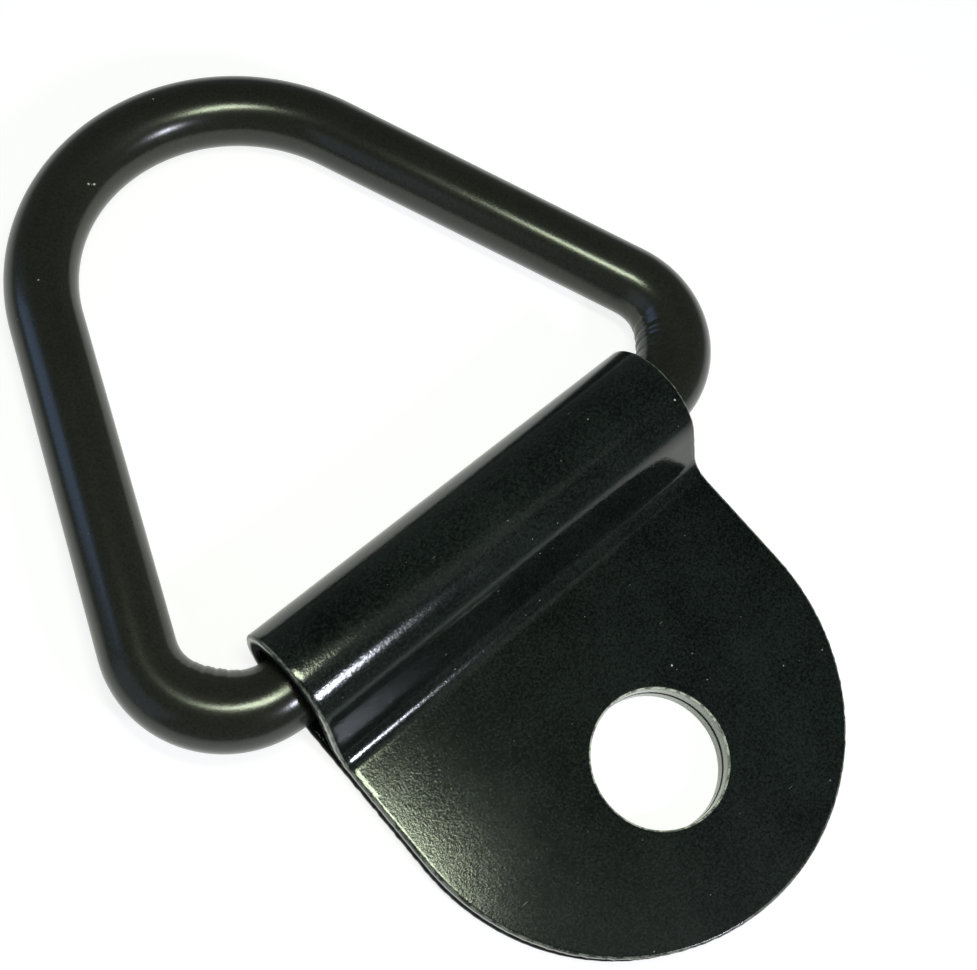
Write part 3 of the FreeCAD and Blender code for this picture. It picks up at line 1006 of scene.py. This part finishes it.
@dataclass(frozen=True)
class Studio:
    """Pale floor, white surroundings and the lamps."""

    lamps: tuple[SoftBox, ...]
    floor_size: float = 6000.0
    floor_drop: float = 0.02  # keeps the floor's face apart from the faces that rest on it
    paper: str = "#dcdcda"
    seen_paper: str = "#8e8e8e"  # the part of the white in view that takes the shadow
    seen_glow: float = 0.84  # the rest of that white
    gloss_glow: float = 0.55  # the paper's glow in gloss, near the part
    glow_centre: Point = (0.0, 35.0, 0.0)
    glow_near: float = 50.0  # from the centre, where the glow in gloss starts to fade
    glow_far: float = 130.0  # where it has faded
    room: str = "#2c3130"  # what gloss shows overhead
    horizon: float = 5.0  # how much brighter the room is in gloss at the floor than overhead
    room_top: float = 0.7  # the sine of the height where the room is as dim as overhead
    fill: float = 0.15  # the even light on matt colours

    def floor_material(self) -> bpy.types.Material:
        """Matt white paper that shows white to the camera and keeps the part's shadow.

        Its own glow is only for what looks at it, so it lights nothing. In gloss the glow fades away from
        the part, so that the part's sides darken softly upwards. Seen from below the paper is clear.

        Returns:
            The material.
        """
        material = bpy.data.materials.new("white_paper")
        material.use_nodes = True
        tree = material.node_tree
        tree.nodes.clear()
        path = add_node(tree, Kind.LIGHT_PATH)
        mirrored = add_node(tree, Kind.MATH, {
            0: path.outputs["Is Glossy Ray"], 1: path.outputs["Is Transmission Ray"]}, operation="MAXIMUM")
        paper = add_node(tree, Kind.DIFFUSE, {"Color": linear(self.paper)})
        place = add_node(tree, Kind.COORDINATES).outputs["Object"]
        centre = tuple(value * MM for value in self.glow_centre)
        away = add_node(tree, Kind.VECTOR_MATH, {0: place, 1: centre}, operation="DISTANCE")
        fade = add_node(tree, Kind.RANGE, {
            "Value": away.outputs["Value"], "From Min": self.glow_near * MM,
            "From Max": self.glow_far * MM, "To Min": self.gloss_glow, "To Max": 0.0})
        gleam = add_node(tree, Kind.EMISSION, {
            "Color": linear("#ffffff"), "Strength": fade.outputs["Result"]})
        in_gloss = add_node(tree, Kind.ADD_SHADER, {0: paper.outputs[0], 1: gleam.outputs[0]})
        shade = add_node(tree, Kind.DIFFUSE, {"Color": linear(self.seen_paper)})
        glow = add_node(tree, Kind.EMISSION, {"Color": linear("#ffffff"), "Strength": self.seen_glow})
        in_view = add_node(tree, Kind.ADD_SHADER, {0: shade.outputs[0], 1: glow.outputs[0]})
        front = add_node(tree, Kind.MIX_SHADER, {
            0: mirrored.outputs[0], 1: paper.outputs[0], 2: in_gloss.outputs[0]})
        front = add_node(tree, Kind.MIX_SHADER, {
            0: path.outputs["Is Camera Ray"], 1: front.outputs[0], 2: in_view.outputs[0]})
        side = add_node(tree, Kind.GEOMETRY)
        clear = add_node(tree, Kind.TRANSPARENT)
        either = add_node(tree, Kind.MIX_SHADER, {
            0: side.outputs["Backfacing"], 1: front.outputs[0], 2: clear.outputs[0]})
        add_node(tree, Kind.MATERIAL_OUTPUT, {"Surface": either.outputs[0]})
        return material

    def floor(self, ring: BentRing) -> bpy.types.Object:
        """Lays the floor under the part, which is the mounting plane at rest.

        Where the ring hangs below that plane, the floor goes down with its apex: it takes the apex's height
        less the bar's radius, and never rises above the mounting plane.

        Args:
            ring: the ring whose apex it makes room for.

        Returns:
            The floor's object.
        """
        half = self.floor_size / 2 * MM
        corners = [(-half, -half, 0.0), (half, -half, 0.0), (half, half, 0.0), (-half, half, 0.0)]
        mesh = bpy.data.meshes.new("floor")
        mesh.from_pydata(corners, [], [(0, 1, 2, 3)])
        mesh.materials.append(self.floor_material())
        floor = bpy.data.objects.new("floor", mesh)
        radius = ring.bar_diameter / 2
        floor.location.z = -(radius + self.floor_drop) * MM
        bpy.context.scene.collection.objects.link(floor)
        apex = bpy.data.objects.new("ring_apex", None)
        apex.location = Vector((0.0, ring.pivot[1] + ring.reach, radius)) * MM
        bpy.context.scene.collection.objects.link(apex)
        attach(apex, Body.RING.value)
        follow = floor.constraints.new("COPY_LOCATION")
        follow.target = apex
        follow.use_x = False
        follow.use_y = False
        follow.use_offset = True
        stop = floor.constraints.new("LIMIT_LOCATION")
        stop.use_max_z = True
        stop.max_z = -self.floor_drop * MM
        return floor

    def surroundings(self) -> None:
        """An even soft fill for matt colours, a dim room in gloss, and white for the camera.

        The room is a bright low band that darkens with the sine of the height above the floor.
        """
        world = bpy.data.worlds.new("surroundings")
        world.use_nodes = True
        tree = world.node_tree
        tree.nodes.clear()
        path = add_node(tree, Kind.LIGHT_PATH)
        fill = add_node(tree, Kind.BACKGROUND, {"Color": linear("#ffffff"), "Strength": self.fill})
        direction = add_node(tree, Kind.COORDINATES)
        height = add_node(tree, Kind.SEPARATE, {0: direction.outputs["Generated"]})
        dim = add_node(tree, Kind.RANGE, {
            "Value": height.outputs["Z"], "From Min": 0.0, "From Max": self.room_top,
            "To Min": self.horizon, "To Max": 1.0})
        room = add_node(tree, Kind.BACKGROUND, {
            "Color": linear(self.room), "Strength": dim.outputs["Result"]})
        white = add_node(tree, Kind.BACKGROUND, {"Color": linear("#ffffff"), "Strength": 1.0})
        light = add_node(tree, Kind.MIX_SHADER, {
            0: path.outputs["Is Glossy Ray"], 1: fill.outputs[0], 2: room.outputs[0]})
        seen = add_node(tree, Kind.MIX_SHADER, {
            0: path.outputs["Is Camera Ray"], 1: light.outputs[0], 2: white.outputs[0]})
        add_node(tree, Kind.WORLD_OUTPUT, {"Surface": seen.outputs[0]})
        bpy.context.scene.world = world

    def build(self, ring: BentRing) -> None:
        """Lays the floor, hangs the lamps and sets the surroundings.

        Args:
            ring: the ring whose apex the floor makes room for.
        """
        self.floor(ring)
        self.surroundings()
        for lamp in self.lamps:
            lamp.build()
        bpy.context.scene.view_settings.view_transform = "Standard"


LAMPS = (
    SoftBox(
        "overhead_box", place=(-17.0, 28.0, 184.0), width=22.0, height=60.0, brightness=38.0,
        tint="#f1ffde", aim=(-17.0, 37.0, 5.0), turn=18.0),
    SoftBox(
        "low_box", place=(14.0, -162.0, 172.0), width=26.0, height=32.0, brightness=104.0,
        tint="#eef2ff"),
    SoftBox(
        "side_window", place=(-335.0, 463.0, 259.0), width=147.0, height=314.0, brightness=1.5,
        tint="#a4c6ff"),
    SoftBox(
        "window_haze", place=(-345.0, 400.0, 300.0), width=420.0, height=420.0, brightness=0.15,
        tint="#c4d8ff"),
    SoftBox(
        "far_window", place=(-730.0, 164.0, 305.0), width=560.0, height=630.0, brightness=0.4,
        tint="#d4e2ff"),
    SoftBox(
        "ceiling", place=(130.0, -160.0, 500.0), width=130.0, height=300.0, brightness=0.3,
        tint="#f4f6f0"),
)


def report(piece: bpy.types.Object, node: str) -> None:
    """Logs a piece's size beside that of the CAD node whose place it takes.

    Args:
        piece: the new piece.
        node: the CAD node's name.
    """
    low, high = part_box(node)
    corners = np.array([corner[:] for corner in piece.bound_box]) / MM
    LOG.info(
        "%s: %d faces, box %s to %s mm; %s is %s to %s mm", piece.name, len(piece.data.polygons),
        np.round(corners.min(0), 2), np.round(corners.max(0), 2), node,
        np.round(np.array(low) / MM, 2), np.round(np.array(high) / MM, 2))


def main() -> None:
    """Builds the ring, the strap and the studio round the frame."""
    logging.basicConfig(level=logging.INFO, format="%(name)s: %(message)s")
    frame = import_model()
    hinge = frame["joints"][0]
    pivot = tuple(value / MM for value in hinge["pos_m"])
    Viewpoint().build()
    ring = BentRing(pivot)
    report(FoldedStrap().build(), "bracket")
    report(ring.build(), "v_ring")
    Studio(LAMPS).build(ring)


if __name__ == "__main__":
    main()
